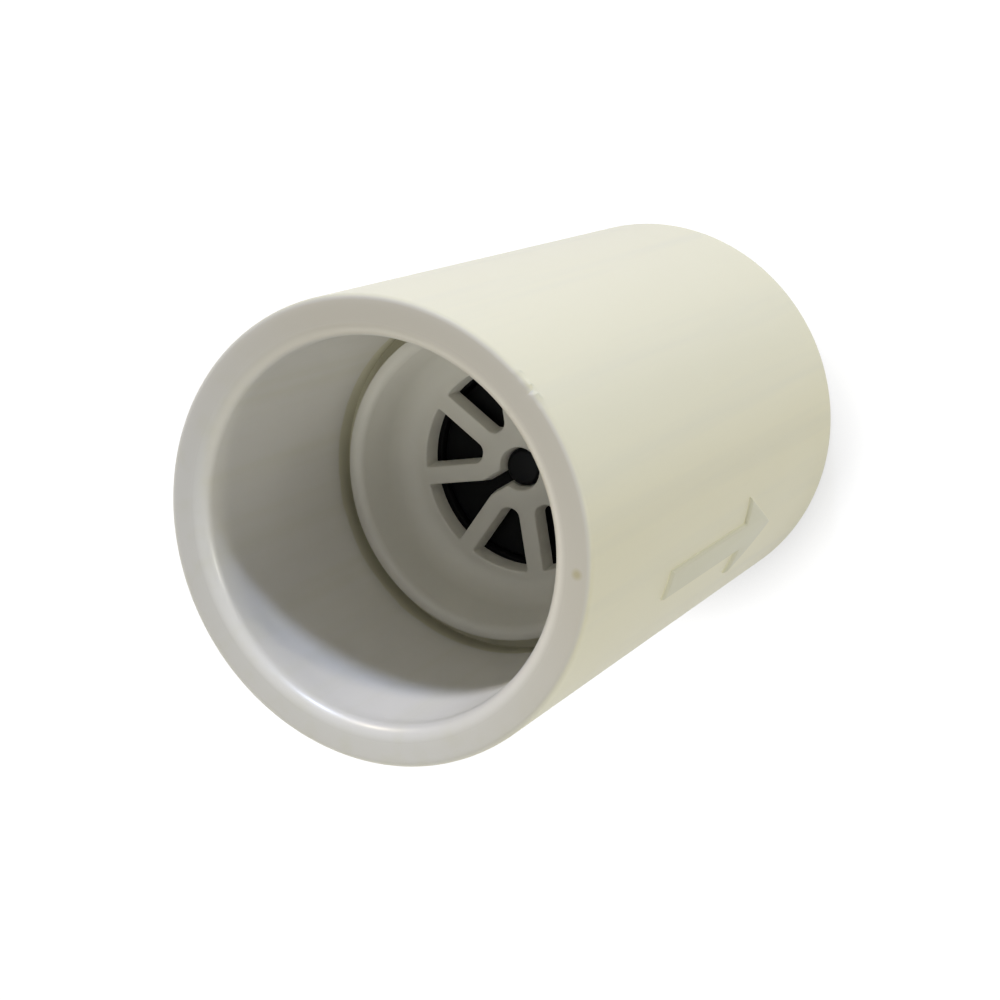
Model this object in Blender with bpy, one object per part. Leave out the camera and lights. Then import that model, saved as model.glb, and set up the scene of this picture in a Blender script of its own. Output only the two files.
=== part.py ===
# Inline non-return valve for a one inch pipe, in moulded PVC with a spring loaded poppet.
# Metres, +Z up. The valve stands on its outlet end: the origin is the middle of that end, the axis
# of the valve is Z, and the inlet socket is at the top. Flow runs downwards, from inlet to outlet.

import math

import bmesh
import bpy
from mathutils import Matrix

MM = 0.001

# Turns a prism so that its outline stands upright, in the plane of the axis
LAY_UPRIGHT = Matrix.Rotation(math.pi / 2, 4, "X")

# Driving dimensions of the body
pipe_radius = 16.7 * MM
socket_depth = 22.0 * MM
socket_mouth_play = 0.12 * MM
socket_root_squeeze = 0.08 * MM
wall_thickness = 3.58 * MM
rim_edge_round = 0.5 * MM
mouth_round = 1.3 * MM
groove_depth = 2.0 * MM
shoulder_width = 0.92 * MM
ledge_thickness = 2.0 * MM
ledge_width = 2.0 * MM

# Clearances
seat_gap = 0.3 * MM
guide_gap = 0.3 * MM
stop_gap = 0.3 * MM

# Driving dimensions of the seat insert
collar_width = 1.2 * MM
collar_edge_round = 0.15 * MM
collar_lip_round = 0.9 * MM
throat_depth = 6.0 * MM
throat_taper = 1.3 * MM
throat_round = 2.6 * MM
plate_thickness = 1.8 * MM
port_count = 8
port_rim = 0.25 * MM
port_draft = 0.25 * MM
port_end_round = 0.8 * MM
port_corner_round = 0.3 * MM
spoke_width = 1.75 * MM
hub_hole_radius = 2.1 * MM
hub_wall = 2.1 * MM
slot_width = 1.6 * MM
slotted_port_angle = math.radians(95.0)
seat_bead_width = 0.8 * MM
seat_bead_height = 0.4 * MM
seat_bead_round = 0.27 * MM
barrel_wall = 1.5 * MM
barrel_lead_round = 0.4 * MM
chamber_depth = 4.9 * MM
chamber_round = 0.5 * MM

# Driving dimensions of the poppet and its seal washer
travel = 4.5 * MM
flange_thickness = 1.5 * MM
flange_edge_round = 0.3 * MM
boss_recess = 0.25 * MM
pin_recess = 0.8 * MM
pin_end_round = 0.4 * MM
stem_radius = 1.6 * MM
stem_proud = 0.6 * MM
stem_end_round = 0.5 * MM
spring_boss_height = 1.2 * MM
rib_count = 6
rib_width = 0.9 * MM
rib_height = 1.2 * MM
rib_tip_height = 0.4 * MM
rib_margin = 1.1 * MM
seal_thickness = 1.6 * MM
seal_width = 2.1 * MM
seal_edge_round = 0.2 * MM

# Driving dimensions of the spring
wire_radius = 0.25 * MM
coil_radius = 4.0 * MM
spring_turns = 6.0
closed_turns = 1.0
closed_coil_gap = 0.12 * MM
spring_length = 8.2 * MM

# Driving dimensions of the outlet cage
cage_ring_height = 2.0 * MM
leg_count = 4
leg_width = 2.0 * MM
leg_thickness = 1.2 * MM
leg_heel = 1.2 * MM
cage_hub_rim = 0.35 * MM
cage_hub_height = 4.4 * MM
cage_hub_round = 0.4 * MM

# Fineness of the round shapes
body_segments = 80
inner_segments = 48
arc_facet = 0.55 * MM
port_arc_steps = 8
wire_points_per_turn = 12
weld_distance = 0.0001 * MM
fillet_share = 0.45
smooth_angle = math.radians(30.0)

# Heights of the fixed pieces, worked out from the outlet end upwards
outlet_stop_z = socket_depth
ledge_top_z = outlet_stop_z + ledge_thickness
cage_ring_bottom_z = ledge_top_z + seat_gap
cage_ring_top_z = cage_ring_bottom_z + cage_ring_height
barrel_end_z = cage_ring_top_z + seat_gap
plate_back_z = barrel_end_z + chamber_depth
plate_front_z = plate_back_z + plate_thickness
collar_top_z = plate_front_z + throat_depth
shoulder_z = collar_top_z - groove_depth
body_length = collar_top_z + socket_depth

# Heights of the moving pieces, worked out from the seat downwards
bead_z = plate_back_z - seat_bead_height
seal_front_z = bead_z - seat_gap
seal_back_z = seal_front_z - seal_thickness
flange_front_z = seal_back_z - seat_gap
flange_back_z = flange_front_z - flange_thickness
leg_shelf_z = flange_back_z - travel - stop_gap
spring_top_z = flange_back_z - seat_gap
spring_bottom_z = spring_top_z - spring_length
cage_hub_top_z = spring_bottom_z - seat_gap
cage_hub_bottom_z = cage_hub_top_z - cage_hub_height
stem_end_z = cage_hub_bottom_z - stem_proud

# Radii, worked out from the pipe inwards and outwards
socket_mouth_radius = pipe_radius + socket_mouth_play
socket_root_radius = pipe_radius - socket_root_squeeze
body_radius = socket_mouth_radius + wall_thickness
core_bore_radius = socket_root_radius - shoulder_width
ledge_bore_radius = core_bore_radius - ledge_width
barrel_radius = core_bore_radius - seat_gap
throat_mouth_radius = barrel_radius - collar_width
throat_root_radius = throat_mouth_radius - throat_taper
chamber_radius = barrel_radius - barrel_wall
leg_outer_radius = ledge_bore_radius - seat_gap
leg_inner_radius = leg_outer_radius - leg_thickness
flange_radius = leg_inner_radius - guide_gap
seal_inner_radius = flange_radius - seal_width
boss_radius = seal_inner_radius - seat_gap
seat_bead_radius = (seal_inner_radius + flange_radius) / 2
port_circle_radius = seat_bead_radius - seat_bead_width / 2 - port_rim
hub_radius = hub_hole_radius + hub_wall
pin_radius = hub_hole_radius - guide_gap
cage_hub_bore_radius = stem_radius + guide_gap
cage_hub_radius = coil_radius + wire_radius + cage_hub_rim
spring_boss_radius = coil_radius - wire_radius - seat_gap
closed_pitch = 2 * wire_radius + closed_coil_gap


def clear_scene():
    """Remove every object of the open scene."""
    for thing in list(bpy.data.objects):
        bpy.data.objects.remove(thing, do_unlink=True)


def plain_material(name, colour, roughness, metallic=0.0):
    """A Principled material of one colour."""
    material = bpy.data.materials.new(name)
    material.use_nodes = True
    shader = material.node_tree.nodes["Principled BSDF"]
    shader.inputs["Base Color"].default_value = (*colour, 1.0)
    shader.inputs["Roughness"].default_value = roughness
    shader.inputs["Metallic"].default_value = metallic
    return material


def rounded(corners, closed=True):
    """Points of an outline whose corners (a, b, radius) are turned into arcs of that radius."""
    points = []
    count = len(corners)
    for index, (a, b, radius) in enumerate(corners):
        at_end = not closed and index in (0, count - 1)
        if radius == 0.0 or at_end:
            points.append((a, b))
            continue
        before = corners[index - 1]
        after = corners[(index + 1) % count]
        to_before = (before[0] - a, before[1] - b)
        to_after = (after[0] - a, after[1] - b)
        length_before = math.hypot(*to_before)
        length_after = math.hypot(*to_after)
        unit_before = (to_before[0] / length_before, to_before[1] / length_before)
        unit_after = (to_after[0] / length_after, to_after[1] / length_after)
        dot = unit_before[0] * unit_after[0] + unit_before[1] * unit_after[1]
        opening = math.acos(max(-1.0, min(1.0, dot)))
        tangent = min(radius / math.tan(opening / 2), fillet_share * min(length_before, length_after))
        arc_radius = tangent * math.tan(opening / 2)
        bisector = (unit_before[0] + unit_after[0], unit_before[1] + unit_after[1])
        bisector_length = math.hypot(*bisector)
        reach = arc_radius / math.sin(opening / 2)
        centre = (a + bisector[0] / bisector_length * reach, b + bisector[1] / bisector_length * reach)
        start = (a + unit_before[0] * tangent, b + unit_before[1] * tangent)
        end = (a + unit_after[0] * tangent, b + unit_after[1] * tangent)
        start_angle = math.atan2(start[1] - centre[1], start[0] - centre[0])
        end_angle = math.atan2(end[1] - centre[1], end[0] - centre[0])
        sweep = (end_angle - start_angle + math.pi) % (2 * math.pi) - math.pi
        steps = max(2, math.ceil(abs(sweep) * arc_radius / arc_facet))
        for step in range(steps + 1):
            angle = start_angle + sweep * step / steps
            across = arc_radius * math.cos(angle)
            up = arc_radius * math.sin(angle)
            points.append((centre[0] + across, centre[1] + up))
    return points


def finish_object(name, shape, material, location=(0.0, 0.0, 0.0)):
    """Turn a bmesh into a smooth shaded object with its faces pointing out."""
    bmesh.ops.remove_doubles(shape, verts=shape.verts, dist=weld_distance)
    bmesh.ops.recalc_face_normals(shape, faces=shape.faces)
    mesh = bpy.data.meshes.new(name)
    shape.to_mesh(mesh)
    shape.free()
    mesh.materials.append(material)
    mesh.shade_smooth()
    mesh.set_sharp_from_angle(angle=smooth_angle)
    thing = bpy.data.objects.new(name, mesh)
    thing.location = location
    bpy.context.collection.objects.link(thing)
    return thing


def turned(outline, segments, closed=True):
    """Spin an outline of (radius, height) points about Z. An open outline starts and ends on the axis."""
    shape = bmesh.new()
    verts = [shape.verts.new((radius, 0.0, height)) for radius, height in outline]
    pairs = list(zip(verts, verts[1:]))
    if closed:
        pairs.append((verts[-1], verts[0]))
    edges = [shape.edges.new(pair) for pair in pairs]
    bmesh.ops.spin(
        shape, geom=verts + edges, cent=(0, 0, 0), axis=(0, 0, 1),
        angle=2 * math.pi, steps=segments, use_merge=True,
    )
    return shape


def prism(shape, outline, bottom, top, placing, bottom_scale=1.0, top_scale=1.0, middle=0.0):
    """Add an upright prism of a flat outline to a bmesh, moved by a matrix.

    Its two ends can be scaled about a middle point on the X axis, for a drafted side.
    """
    verts = [shape.verts.new((a, b, bottom)) for a, b in outline]
    base = shape.faces.new(verts)
    lifted = bmesh.ops.extrude_face_region(shape, geom=[base])
    lifted_verts = [item for item in lifted["geom"] if isinstance(item, bmesh.types.BMVert)]
    bmesh.ops.translate(shape, verts=lifted_verts, vec=(0.0, 0.0, top - bottom))
    for end, scale in ((verts, bottom_scale), (lifted_verts, top_scale)):
        about_middle = Matrix.Translation((-middle, 0.0, 0.0))
        bmesh.ops.scale(shape, vec=(scale, scale, 1.0), space=about_middle, verts=end)
    bmesh.ops.transform(shape, matrix=placing, verts=verts + lifted_verts)


def boolean(target, tool, operation):
    """Join or cut the target with a hidden tool object."""
    tool.hide_render = True
    tool.display_type = "WIRE"
    change = target.modifiers.new(tool.name, "BOOLEAN")
    change.operation = operation
    change.solver = "EXACT"
    change.object = tool


def build_body(material):
    """The tube with a tapered socket at each end, the bore for the inner parts and its ledge."""
    outline = rounded([
        (body_radius, 0.0, rim_edge_round),
        (body_radius, body_length, rim_edge_round),
        (socket_mouth_radius, body_length, mouth_round),
        (socket_root_radius, shoulder_z, 0.0),
        (core_bore_radius, shoulder_z, 0.0),
        (core_bore_radius, ledge_top_z, 0.0),
        (ledge_bore_radius, ledge_top_z, 0.0),
        (ledge_bore_radius, outlet_stop_z, 0.0),
        (socket_root_radius, outlet_stop_z, 0.0),
        (socket_mouth_radius, 0.0, mouth_round),
    ])
    return finish_object("valve_body", turned(outline, body_segments), material)


def port_outline():
    """One port, lying along +X: outer arc, straight sides along the spokes and a rounded inner end."""
    half_pitch = math.pi / port_count
    half_spoke = spoke_width / 2

    def side_point(radius):
        along = math.sqrt(radius ** 2 - half_spoke ** 2)
        across = along * math.cos(half_pitch) + half_spoke * math.sin(half_pitch)
        up = along * math.sin(half_pitch) - half_spoke * math.cos(half_pitch)
        return across, up

    outer = side_point(port_circle_radius)
    inner = side_point(hub_radius)
    half_angle = math.atan2(outer[1], outer[0])
    corners = [(inner[0], -inner[1], port_end_round), (outer[0], -outer[1], port_corner_round)]
    for step in range(1, port_arc_steps):
        angle = half_angle * (2 * step / port_arc_steps - 1)
        corners.append((port_circle_radius * math.cos(angle), port_circle_radius * math.sin(angle), 0.0))
    corners.append((outer[0], outer[1], port_corner_round))
    corners.append((inner[0], inner[1], port_end_round))
    return rounded(corners)


def slot_outline():
    """The channel through the hub ring, from the hub hole out into one port."""
    reach = hub_radius + port_end_round
    half_width = slot_width / 2
    return [(0.0, -half_width), (reach, -half_width), (reach, half_width), (0.0, half_width)]


def build_insert(material):
    """Collar, bowl shaped throat, port plate with its slotted hub, seat bead and barrel."""
    outline = rounded([
        (barrel_radius, barrel_end_z, barrel_lead_round),
        (barrel_radius, collar_top_z, collar_edge_round),
        (throat_mouth_radius, collar_top_z, collar_lip_round),
        (throat_root_radius, plate_front_z, throat_round),
        (hub_hole_radius, plate_front_z, 0.0),
        (hub_hole_radius, plate_back_z, 0.0),
        (seat_bead_radius - seat_bead_width / 2, plate_back_z, 0.0),
        (seat_bead_radius - seat_bead_width / 2, bead_z, seat_bead_round),
        (seat_bead_radius + seat_bead_width / 2, bead_z, seat_bead_round),
        (seat_bead_radius + seat_bead_width / 2, plate_back_z, 0.0),
        (chamber_radius, plate_back_z, chamber_round),
        (chamber_radius, barrel_end_z, 0.0),
    ])
    insert = finish_object("seat_insert", turned(outline, body_segments), material)

    # The ports narrow towards the back of the plate. The cutter runs a plate's thickness past each
    # face, and its outline is true at the front face.
    cut_bottom = plate_back_z - plate_thickness
    cut_top = plate_front_z + plate_thickness
    port_middle = (hub_radius + port_circle_radius) / 2
    draft_share = 2 * port_draft / (port_circle_radius - hub_radius)
    ports = bmesh.new()
    for index in range(port_count):
        turn = Matrix.Rotation(slotted_port_angle + 2 * math.pi * index / port_count, 4, "Z")
        prism(ports, port_outline(), cut_bottom, cut_top, turn,
              1 - 2 * draft_share, 1 + draft_share, port_middle)
    slot = bmesh.new()
    prism(slot, slot_outline(), cut_bottom, cut_top, Matrix.Rotation(slotted_port_angle, 4, "Z"))
    boolean(insert, finish_object("port_cutters", ports, material), "DIFFERENCE")
    boolean(insert, finish_object("slot_cutter", slot, material), "DIFFERENCE")
    return insert


def build_poppet(material):
    """Disc with a pin in the seat hub, a boss inside the washer, ribs and a guide stem, one moulding."""
    flange_back = -flange_thickness
    boss_top = seal_front_z - flange_front_z - boss_recess
    pin_top = plate_front_z - flange_front_z - pin_recess
    spring_boss_end = flange_back - spring_boss_height
    stem_end = stem_end_z - flange_front_z
    outline = rounded([
        (0.0, pin_top, 0.0),
        (pin_radius, pin_top, pin_end_round),
        (pin_radius, boss_top, 0.0),
        (boss_radius, boss_top, 0.0),
        (boss_radius, 0.0, 0.0),
        (flange_radius, 0.0, flange_edge_round),
        (flange_radius, flange_back, flange_edge_round),
        (spring_boss_radius, flange_back, 0.0),
        (spring_boss_radius, spring_boss_end, flange_edge_round),
        (stem_radius, spring_boss_end, 0.0),
        (stem_radius, stem_end, stem_end_round),
        (0.0, stem_end, 0.0),
    ], closed=False)
    shape = turned(outline, inner_segments, closed=False)
    place = (0.0, 0.0, flange_front_z)
    poppet = finish_object("poppet", shape, material, place)

    rib_root = flange_back + flange_thickness / 2
    rib_end = flange_radius - rib_margin
    rib_outline = [
        (cage_hub_radius, rib_root),
        (cage_hub_radius, flange_back - rib_height),
        (rib_end, flange_back - rib_tip_height),
        (rib_end, rib_root),
    ]
    ribs = bmesh.new()
    for index in range(rib_count):
        turn = Matrix.Rotation(2 * math.pi * index / rib_count, 4, "Z")
        prism(ribs, rib_outline, -rib_width / 2, rib_width / 2, turn @ LAY_UPRIGHT)
    boolean(poppet, finish_object("poppet_rib_tool", ribs, material, place), "UNION")
    return poppet


def build_washer(material, poppet):
    """Flat rubber ring on the rim of the poppet, which closes on the seat bead."""
    bottom = seal_back_z - flange_front_z
    top = bottom + seal_thickness
    outline = rounded([
        (seal_inner_radius, bottom, 0.0),
        (flange_radius, bottom, seal_edge_round),
        (flange_radius, top, seal_edge_round),
        (seal_inner_radius, top, 0.0),
    ])
    washer = finish_object("seal_washer", turned(outline, inner_segments), material)
    washer.parent = poppet
    return washer


def spring_height(turn):
    """Height of the wire above the lowest coil after so many turns: end coils closed, the rest open."""
    open_turns = spring_turns - 2 * closed_turns
    open_rise = spring_length - 2 * wire_radius - 2 * closed_turns * closed_pitch
    if turn <= closed_turns:
        return closed_pitch * turn
    if turn >= spring_turns - closed_turns:
        return spring_length - 2 * wire_radius - closed_pitch * (spring_turns - turn)
    share = (turn - closed_turns) / open_turns
    return closed_pitch * closed_turns + open_rise * share


def build_spring(material):
    """Compression spring round the boss of the poppet and the hub of the cage."""
    curve = bpy.data.curves.new("closing_spring", "CURVE")
    curve.dimensions = "3D"
    curve.bevel_depth = wire_radius
    curve.bevel_resolution = 2
    curve.use_fill_caps = True
    spline = curve.splines.new("POLY")
    count = round(spring_turns * wire_points_per_turn) + 1
    spline.points.add(count - 1)
    for index in range(count):
        turn = index / wire_points_per_turn
        angle = 2 * math.pi * turn
        height = wire_radius + spring_height(turn)
        spline.points[index].co = (coil_radius * math.cos(angle), coil_radius * math.sin(angle), height, 1.0)
    curve.materials.append(material)
    spring = bpy.data.objects.new("closing_spring", curve)
    spring.location = (0.0, 0.0, spring_bottom_z)
    bpy.context.collection.objects.link(spring)
    return spring


def build_cage(material):
    """Ring on the ledge of the body, legs that stop the disc, and a hub for the stem and the spring."""
    ring_outline = [
        (leg_outer_radius, cage_ring_bottom_z),
        (barrel_radius, cage_ring_bottom_z),
        (barrel_radius, cage_ring_top_z),
        (leg_outer_radius, cage_ring_top_z),
    ]
    hub_outline = rounded([
        (cage_hub_bore_radius, cage_hub_bottom_z, 0.0),
        (cage_hub_radius, cage_hub_bottom_z, cage_hub_round),
        (cage_hub_radius, cage_hub_top_z, cage_hub_round),
        (cage_hub_bore_radius, cage_hub_top_z, 0.0),
    ])
    ring_middle = (leg_outer_radius + barrel_radius) / 2
    hub_middle = (cage_hub_bore_radius + cage_hub_radius) / 2
    leg_outline = [
        (ring_middle, cage_ring_top_z - cage_hub_round),
        (leg_inner_radius, cage_ring_top_z - cage_hub_round),
        (leg_inner_radius, leg_shelf_z),
        (hub_middle, cage_hub_top_z - cage_hub_round),
        (hub_middle, cage_hub_bottom_z + cage_hub_round),
        (leg_outer_radius, leg_shelf_z - leg_heel),
        (leg_outer_radius, cage_ring_bottom_z + cage_hub_round),
        (ring_middle, cage_ring_bottom_z + cage_hub_round),
    ]
    cage = finish_object("outlet_cage", turned(ring_outline, body_segments), material)
    legs = bmesh.new()
    for index in range(leg_count):
        turn = Matrix.Rotation(slotted_port_angle + 2 * math.pi * index / leg_count, 4, "Z")
        prism(legs, leg_outline, -leg_width / 2, leg_width / 2, turn @ LAY_UPRIGHT)
    hub = finish_object("cage_hub_tool", turned(hub_outline, inner_segments), material)
    boolean(cage, finish_object("cage_leg_tool", legs, material), "UNION")
    boolean(cage, hub, "UNION")
    return cage


def main():
    """Build the valve."""
    clear_scene()
    build_body(plain_material("moulded_pvc", (0.71, 0.70, 0.59), 0.45))
    build_insert(plain_material("insert_pvc", (0.62, 0.61, 0.54), 0.5))
    poppet = build_poppet(plain_material("black_plastic", (0.012, 0.012, 0.013), 0.4))
    build_washer(plain_material("black_rubber", (0.008, 0.008, 0.009), 0.7), poppet)
    build_spring(plain_material("spring_steel", (0.62, 0.61, 0.58), 0.3, 1.0))
    build_cage(plain_material("cage_pvc", (0.66, 0.65, 0.57), 0.5))


main()
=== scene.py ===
# Inline non-return valve in white PVC, for a one inch pipe. It stands on its outlet end, with the
# inlet socket up, the port plate deep in that socket, and the spring loaded poppet behind it.
import math

import bmesh
import bpy
from mathutils import Matrix, Vector, noise


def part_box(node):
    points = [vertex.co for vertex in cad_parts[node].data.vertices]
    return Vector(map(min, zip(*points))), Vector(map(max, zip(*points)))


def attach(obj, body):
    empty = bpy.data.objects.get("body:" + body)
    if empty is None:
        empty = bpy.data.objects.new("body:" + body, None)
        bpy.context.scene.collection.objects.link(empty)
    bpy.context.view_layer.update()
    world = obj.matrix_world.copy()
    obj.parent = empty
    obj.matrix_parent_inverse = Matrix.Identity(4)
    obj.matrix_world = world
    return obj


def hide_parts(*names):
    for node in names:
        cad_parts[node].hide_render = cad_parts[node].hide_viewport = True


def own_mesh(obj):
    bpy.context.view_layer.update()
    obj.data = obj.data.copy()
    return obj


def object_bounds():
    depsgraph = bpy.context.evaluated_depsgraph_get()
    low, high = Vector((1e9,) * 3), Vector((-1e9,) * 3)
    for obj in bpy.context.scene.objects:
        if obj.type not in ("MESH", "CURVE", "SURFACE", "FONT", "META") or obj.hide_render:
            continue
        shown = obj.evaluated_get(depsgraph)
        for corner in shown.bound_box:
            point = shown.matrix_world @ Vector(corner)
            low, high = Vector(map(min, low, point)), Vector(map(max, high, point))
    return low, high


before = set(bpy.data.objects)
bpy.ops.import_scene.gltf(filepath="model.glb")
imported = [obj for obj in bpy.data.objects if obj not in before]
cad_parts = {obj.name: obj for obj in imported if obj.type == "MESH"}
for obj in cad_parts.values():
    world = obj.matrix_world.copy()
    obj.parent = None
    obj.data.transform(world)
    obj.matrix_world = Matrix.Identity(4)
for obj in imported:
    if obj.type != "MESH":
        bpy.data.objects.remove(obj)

MM = 0.001
cad_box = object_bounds()


# The view.
# A camera close above the inlet, rolled so that the valve lies across the picture, from lower left
# to upper right.
camera_place = Vector((0.0, -92.74, 198.26)) * MM
camera_heading = math.radians(-1.17)
camera_pitch = math.radians(-59.77)
camera_roll = math.radians(-115.24)
camera_lens = 70.92

looking = Vector((
    math.sin(camera_heading) * math.cos(camera_pitch),
    math.cos(camera_heading) * math.cos(camera_pitch),
    math.sin(camera_pitch),
))
camera_turn = looking.to_track_quat("-Z", "Y").to_matrix() @ Matrix.Rotation(camera_roll, 3, "Z")
camera_data = bpy.data.cameras.new("view")
camera_data.lens = camera_lens
camera_data.clip_start = 1 * MM
camera = bpy.data.objects.new("view", camera_data)
camera.matrix_world = Matrix.Translation(camera_place) @ camera_turn.to_4x4()
bpy.context.collection.objects.link(camera)
bpy.context.scene.camera = camera
bpy.context.scene.view_settings.view_transform = "Standard"


# The table and the light.
# A white table in a pale room, lit by a cool and a warm window, a high lamp that reaches into the
# socket, side lamps for the front and the back, and a lamp below. The table has a round hole under
# the valve, is clear from below, and has a painted contact shadow: its glow darkens close to the
# valve on the side away from the windows.
window_height = 15.2
window_size = 65 * MM
far_lamp = 600 * MM
table_size = 3000 * MM
table_sides = 96
table_under_rim = 0.25 * MM
table_hole = cad_box[1].x - table_under_rim
table_drop = 0.05 * MM
table_colour = 0.6
table_colour_seen = 0.15
contact_reach = 6.5 * MM
contact_samples = 8
contact_depth = 0.6
contact_heading = math.radians(200.0)
contact_start = 4 * MM
contact_full = 19 * MM
room_colour = (1.0, 0.995, 0.975)
room_strength = 0.15
backdrop_colour = (1.0, 1.0, 1.0)
mouth_middle = Vector((0.0, 0.0, cad_box[1].z))


def soft_lamp(name, azimuth, height, distance, size, level, colour, in_gloss=True):
    """A round soft lamp that shines on the mouth of the valve. Level 1 lights as a white room."""
    azimuth = math.radians(azimuth)
    height = math.radians(height)
    way = Vector((math.cos(azimuth) * math.cos(height), math.sin(azimuth) * math.cos(height),
                  math.sin(height)))
    lamp_data = bpy.data.lights.new(name, "AREA")
    lamp_data.shape = "DISK"
    lamp_data.size = size
    lamp_data.energy = level * (math.pi * distance) ** 2
    lamp_data.color = colour
    lamp = bpy.data.objects.new(name, lamp_data)
    lamp.location = mouth_middle + way * distance
    lamp.rotation_euler = way.to_track_quat("Z", "Y").to_euler()
    lamp.visible_camera = False
    lamp.visible_glossy = in_gloss
    bpy.context.collection.objects.link(lamp)


def combine(owner, operation, first, second):
    """Two values of a material, or of the world, put together by a plain sum."""
    node = owner.node_tree.nodes.new("ShaderNodeMath")
    node.operation = operation
    for socket, value in zip(node.inputs, (first, second)):
        if isinstance(value, float):
            socket.default_value = value
        else:
            owner.node_tree.links.new(value, socket)
    return node.outputs[0]


def edge_mask(owner, value, start, end):
    """A mask that goes from 0 to 1 as a value goes from start to end."""
    ramp = owner.node_tree.nodes.new("ShaderNodeMapRange")
    ramp.inputs["From Min"].default_value = min(start, end)
    ramp.inputs["From Max"].default_value = max(start, end)
    ramp.inputs["To Min"].default_value = 0.0 if start < end else 1.0
    ramp.inputs["To Max"].default_value = 1.0 if start < end else 0.0
    owner.node_tree.links.new(value, ramp.inputs["Value"])
    return ramp.outputs["Result"]


def along_heading(owner, heading):
    """How far a point of the object lies from the axis of the valve, measured along a heading."""
    nodes = owner.node_tree.nodes
    place = nodes.new("ShaderNodeTexCoord")
    distance = nodes.new("ShaderNodeVectorMath")
    distance.operation = "DOT_PRODUCT"
    distance.inputs[1].default_value = (math.cos(heading), math.sin(heading), 0.0)
    owner.node_tree.links.new(place.outputs["Object"], distance.inputs[0])
    return distance.outputs["Value"]


def background_rays(owner):
    """1 for rays that see the background: the camera's, mirrored ones, and through glass."""
    rays = owner.node_tree.nodes.new("ShaderNodeLightPath")
    bounced = combine(owner, "MAXIMUM", rays.outputs["Is Glossy Ray"],
                      rays.outputs["Is Transmission Ray"])
    return combine(owner, "MAXIMUM", rays.outputs["Is Camera Ray"], bounced)


soft_lamp("cool_window", -25, window_height, far_lamp, window_size, 0.5, (0.66, 0.75, 1.0))
soft_lamp("warm_window", 2, window_height, far_lamp, window_size, 0.26, (1.0, 0.87, 0.65))
soft_lamp("high_lamp", 165, 46, 130 * MM, 60 * MM, 0.325, (1.0, 0.995, 0.92), in_gloss=False)
soft_lamp("side_lamp", 255, 1, far_lamp, 120 * MM, 0.37, (1.0, 0.985, 0.86))
soft_lamp("back_side_lamp", 98, 2, far_lamp, 300 * MM, 0.42, (1.0, 0.98, 0.93), in_gloss=False)
soft_lamp("lamp_below", 0, -90, 360 * MM, 200 * MM, 0.35, (1.0, 0.99, 0.97))

world = bpy.data.worlds.new("pale room")
world.use_nodes = True
bpy.context.scene.world = world
nodes = world.node_tree.nodes
links = world.node_tree.links
nodes.clear()
room = nodes.new("ShaderNodeBackground")
room.inputs["Color"].default_value = (*room_colour, 1.0)
room.inputs["Strength"].default_value = room_strength
backdrop = nodes.new("ShaderNodeBackground")
backdrop.inputs["Color"].default_value = (*backdrop_colour, 1.0)
either = nodes.new("ShaderNodeMixShader")
world_out = nodes.new("ShaderNodeOutputWorld")
links.new(background_rays(world), either.inputs["Fac"])
links.new(room.outputs[0], either.inputs[1])
links.new(backdrop.outputs[0], either.inputs[2])
links.new(either.outputs[0], world_out.inputs["Surface"])

# The table glows white to the camera, darker where the valve stands close by as a painted contact
# shadow, and its top sends light back to the valve as a white table does.
white = bpy.data.materials.new("white table")
white.use_nodes = True
nodes = white.node_tree.nodes
links = white.node_tree.links
nodes.clear()
seen = background_rays(white)
paint = nodes.new("ShaderNodeBsdfDiffuse")
shade = nodes.new("ShaderNodeMix")
shade.inputs["A"].default_value = table_colour
shade.inputs["B"].default_value = table_colour_seen
# Painted contact shadow: ambient occlusion darkens the glow near the valve, on the side away from
# the windows.
painted_contact_shadow = nodes.new("ShaderNodeAmbientOcclusion")
painted_contact_shadow.samples = contact_samples
painted_contact_shadow.inputs["Distance"].default_value = contact_reach
painted_shadow_side = edge_mask(white, along_heading(white, contact_heading), contact_start, contact_full)
contact = nodes.new("ShaderNodeMix")
contact.inputs["A"].default_value = 1.0
glow = nodes.new("ShaderNodeEmission")
both = nodes.new("ShaderNodeAddShader")
side = nodes.new("ShaderNodeNewGeometry")
clear = nodes.new("ShaderNodeBsdfTransparent")
one_sided = nodes.new("ShaderNodeMixShader")
white_out = nodes.new("ShaderNodeOutputMaterial")
links.new(seen, shade.inputs["Factor"])
links.new(shade.outputs["Result"], paint.inputs["Color"])
links.new(combine(white, "MULTIPLY", painted_shadow_side, contact_depth), contact.inputs["Factor"])
links.new(painted_contact_shadow.outputs["AO"], contact.inputs["B"])
links.new(combine(white, "MULTIPLY", seen, contact.outputs["Result"]), glow.inputs["Strength"])
links.new(paint.outputs[0], both.inputs[0])
links.new(glow.outputs[0], both.inputs[1])
links.new(side.outputs["Backfacing"], one_sided.inputs["Fac"])
links.new(both.outputs[0], one_sided.inputs[1])
links.new(clear.outputs[0], one_sided.inputs[2])
links.new(one_sided.outputs[0], white_out.inputs["Surface"])

table_mesh = bmesh.new()
bmesh.ops.create_circle(table_mesh, segments=table_sides, radius=table_size / 2)
bmesh.ops.create_circle(table_mesh, segments=table_sides, radius=table_hole)
bmesh.ops.bridge_loops(table_mesh, edges=table_mesh.edges)
bmesh.ops.translate(table_mesh, verts=table_mesh.verts, vec=(0, 0, -table_drop))
bmesh.ops.recalc_face_normals(table_mesh, faces=table_mesh.faces)
if table_mesh.faces[:][0].normal.z < 0:
    bmesh.ops.reverse_faces(table_mesh, faces=table_mesh.faces)
table_data = bpy.data.meshes.new("table_top")
table_mesh.to_mesh(table_data)
table_mesh.free()
table_data.materials.append(white)
table_top = bpy.data.objects.new("table_top", table_data)
bpy.context.collection.objects.link(table_top)


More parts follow.
